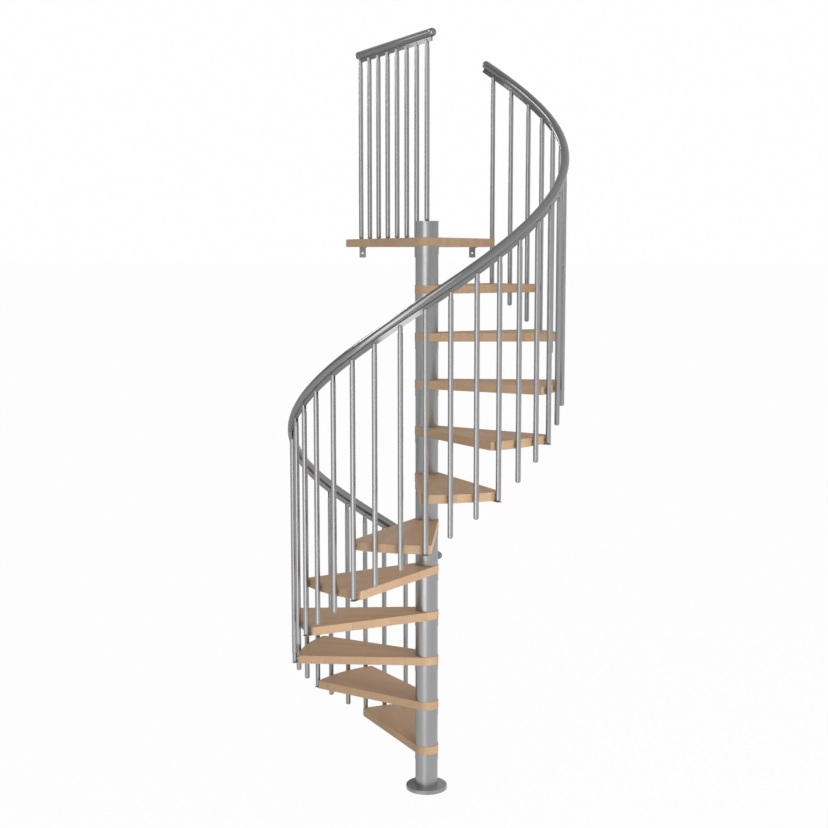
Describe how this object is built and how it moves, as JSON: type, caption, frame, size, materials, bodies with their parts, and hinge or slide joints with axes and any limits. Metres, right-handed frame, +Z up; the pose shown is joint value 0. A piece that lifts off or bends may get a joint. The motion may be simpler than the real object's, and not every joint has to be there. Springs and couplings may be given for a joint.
{
  "type": "spiral staircase",
  "caption": "Spiral staircase with wooden winder treads on a steel column, bar balusters, a helical handrail and a landing with its own guard.",
  "frame": {"origin": "centre of the base flange's flat underside, on the column's axis, at the lower floor", "axes": "+Z up along the column; +X to the right and +Y away as the picture shows the stair; the landing lies towards +Y"},
  "size_m": [1.39, 1.5681, 3.8229],
  "materials": {
    "beech": "oiled stave-laminated beech",
    "satin_steel": "satin silver-grey powder coat",
    "handrail_grey": "satin mid-grey handrail tube",
    "bracket_steel": "zinc-plated angle"
  },
  "bodies": {
    "root": {"baluster_ferrules": "satin_steel", "baluster_spacers": "satin_steel", "balusters_01": "satin_steel", "balusters_02": "satin_steel", "balusters_03": "satin_steel", "balusters_04": "satin_steel", "balusters_05": "satin_steel", "balusters_06": "satin_steel", "balusters_07": "satin_steel", "balusters_08": "satin_steel", "balusters_09": "satin_steel", "balusters_10": "satin_steel", "balusters_11": "satin_steel", "base_flange": "satin_steel", "center_post": "satin_steel", "column_cap": "satin_steel", "column_sleeves": "satin_steel", "handrail": "handrail_grey", "handrail_strip": "handrail_grey", "landing_balusters": "satin_steel", "landing_ferrules": "satin_steel", "landing_rail": "handrail_grey", "landing_rail_strip": "handrail_grey", "platform": "beech", "platform_brackets": "bracket_steel", "platform_corner_baluster": "satin_steel", "rail_end_plugs": "handrail_grey", "tread_01": "beech", "tread_02": "beech", "tread_03": "beech", "tread_04": "beech", "tread_05": "beech", "tread_06": "beech", "tread_07": "beech", "tread_08": "beech", "tread_09": "beech", "tread_10": "beech", "tread_11": "beech", "tread_corner_brackets": "bracket_steel"}
  },
  "joints": []
}
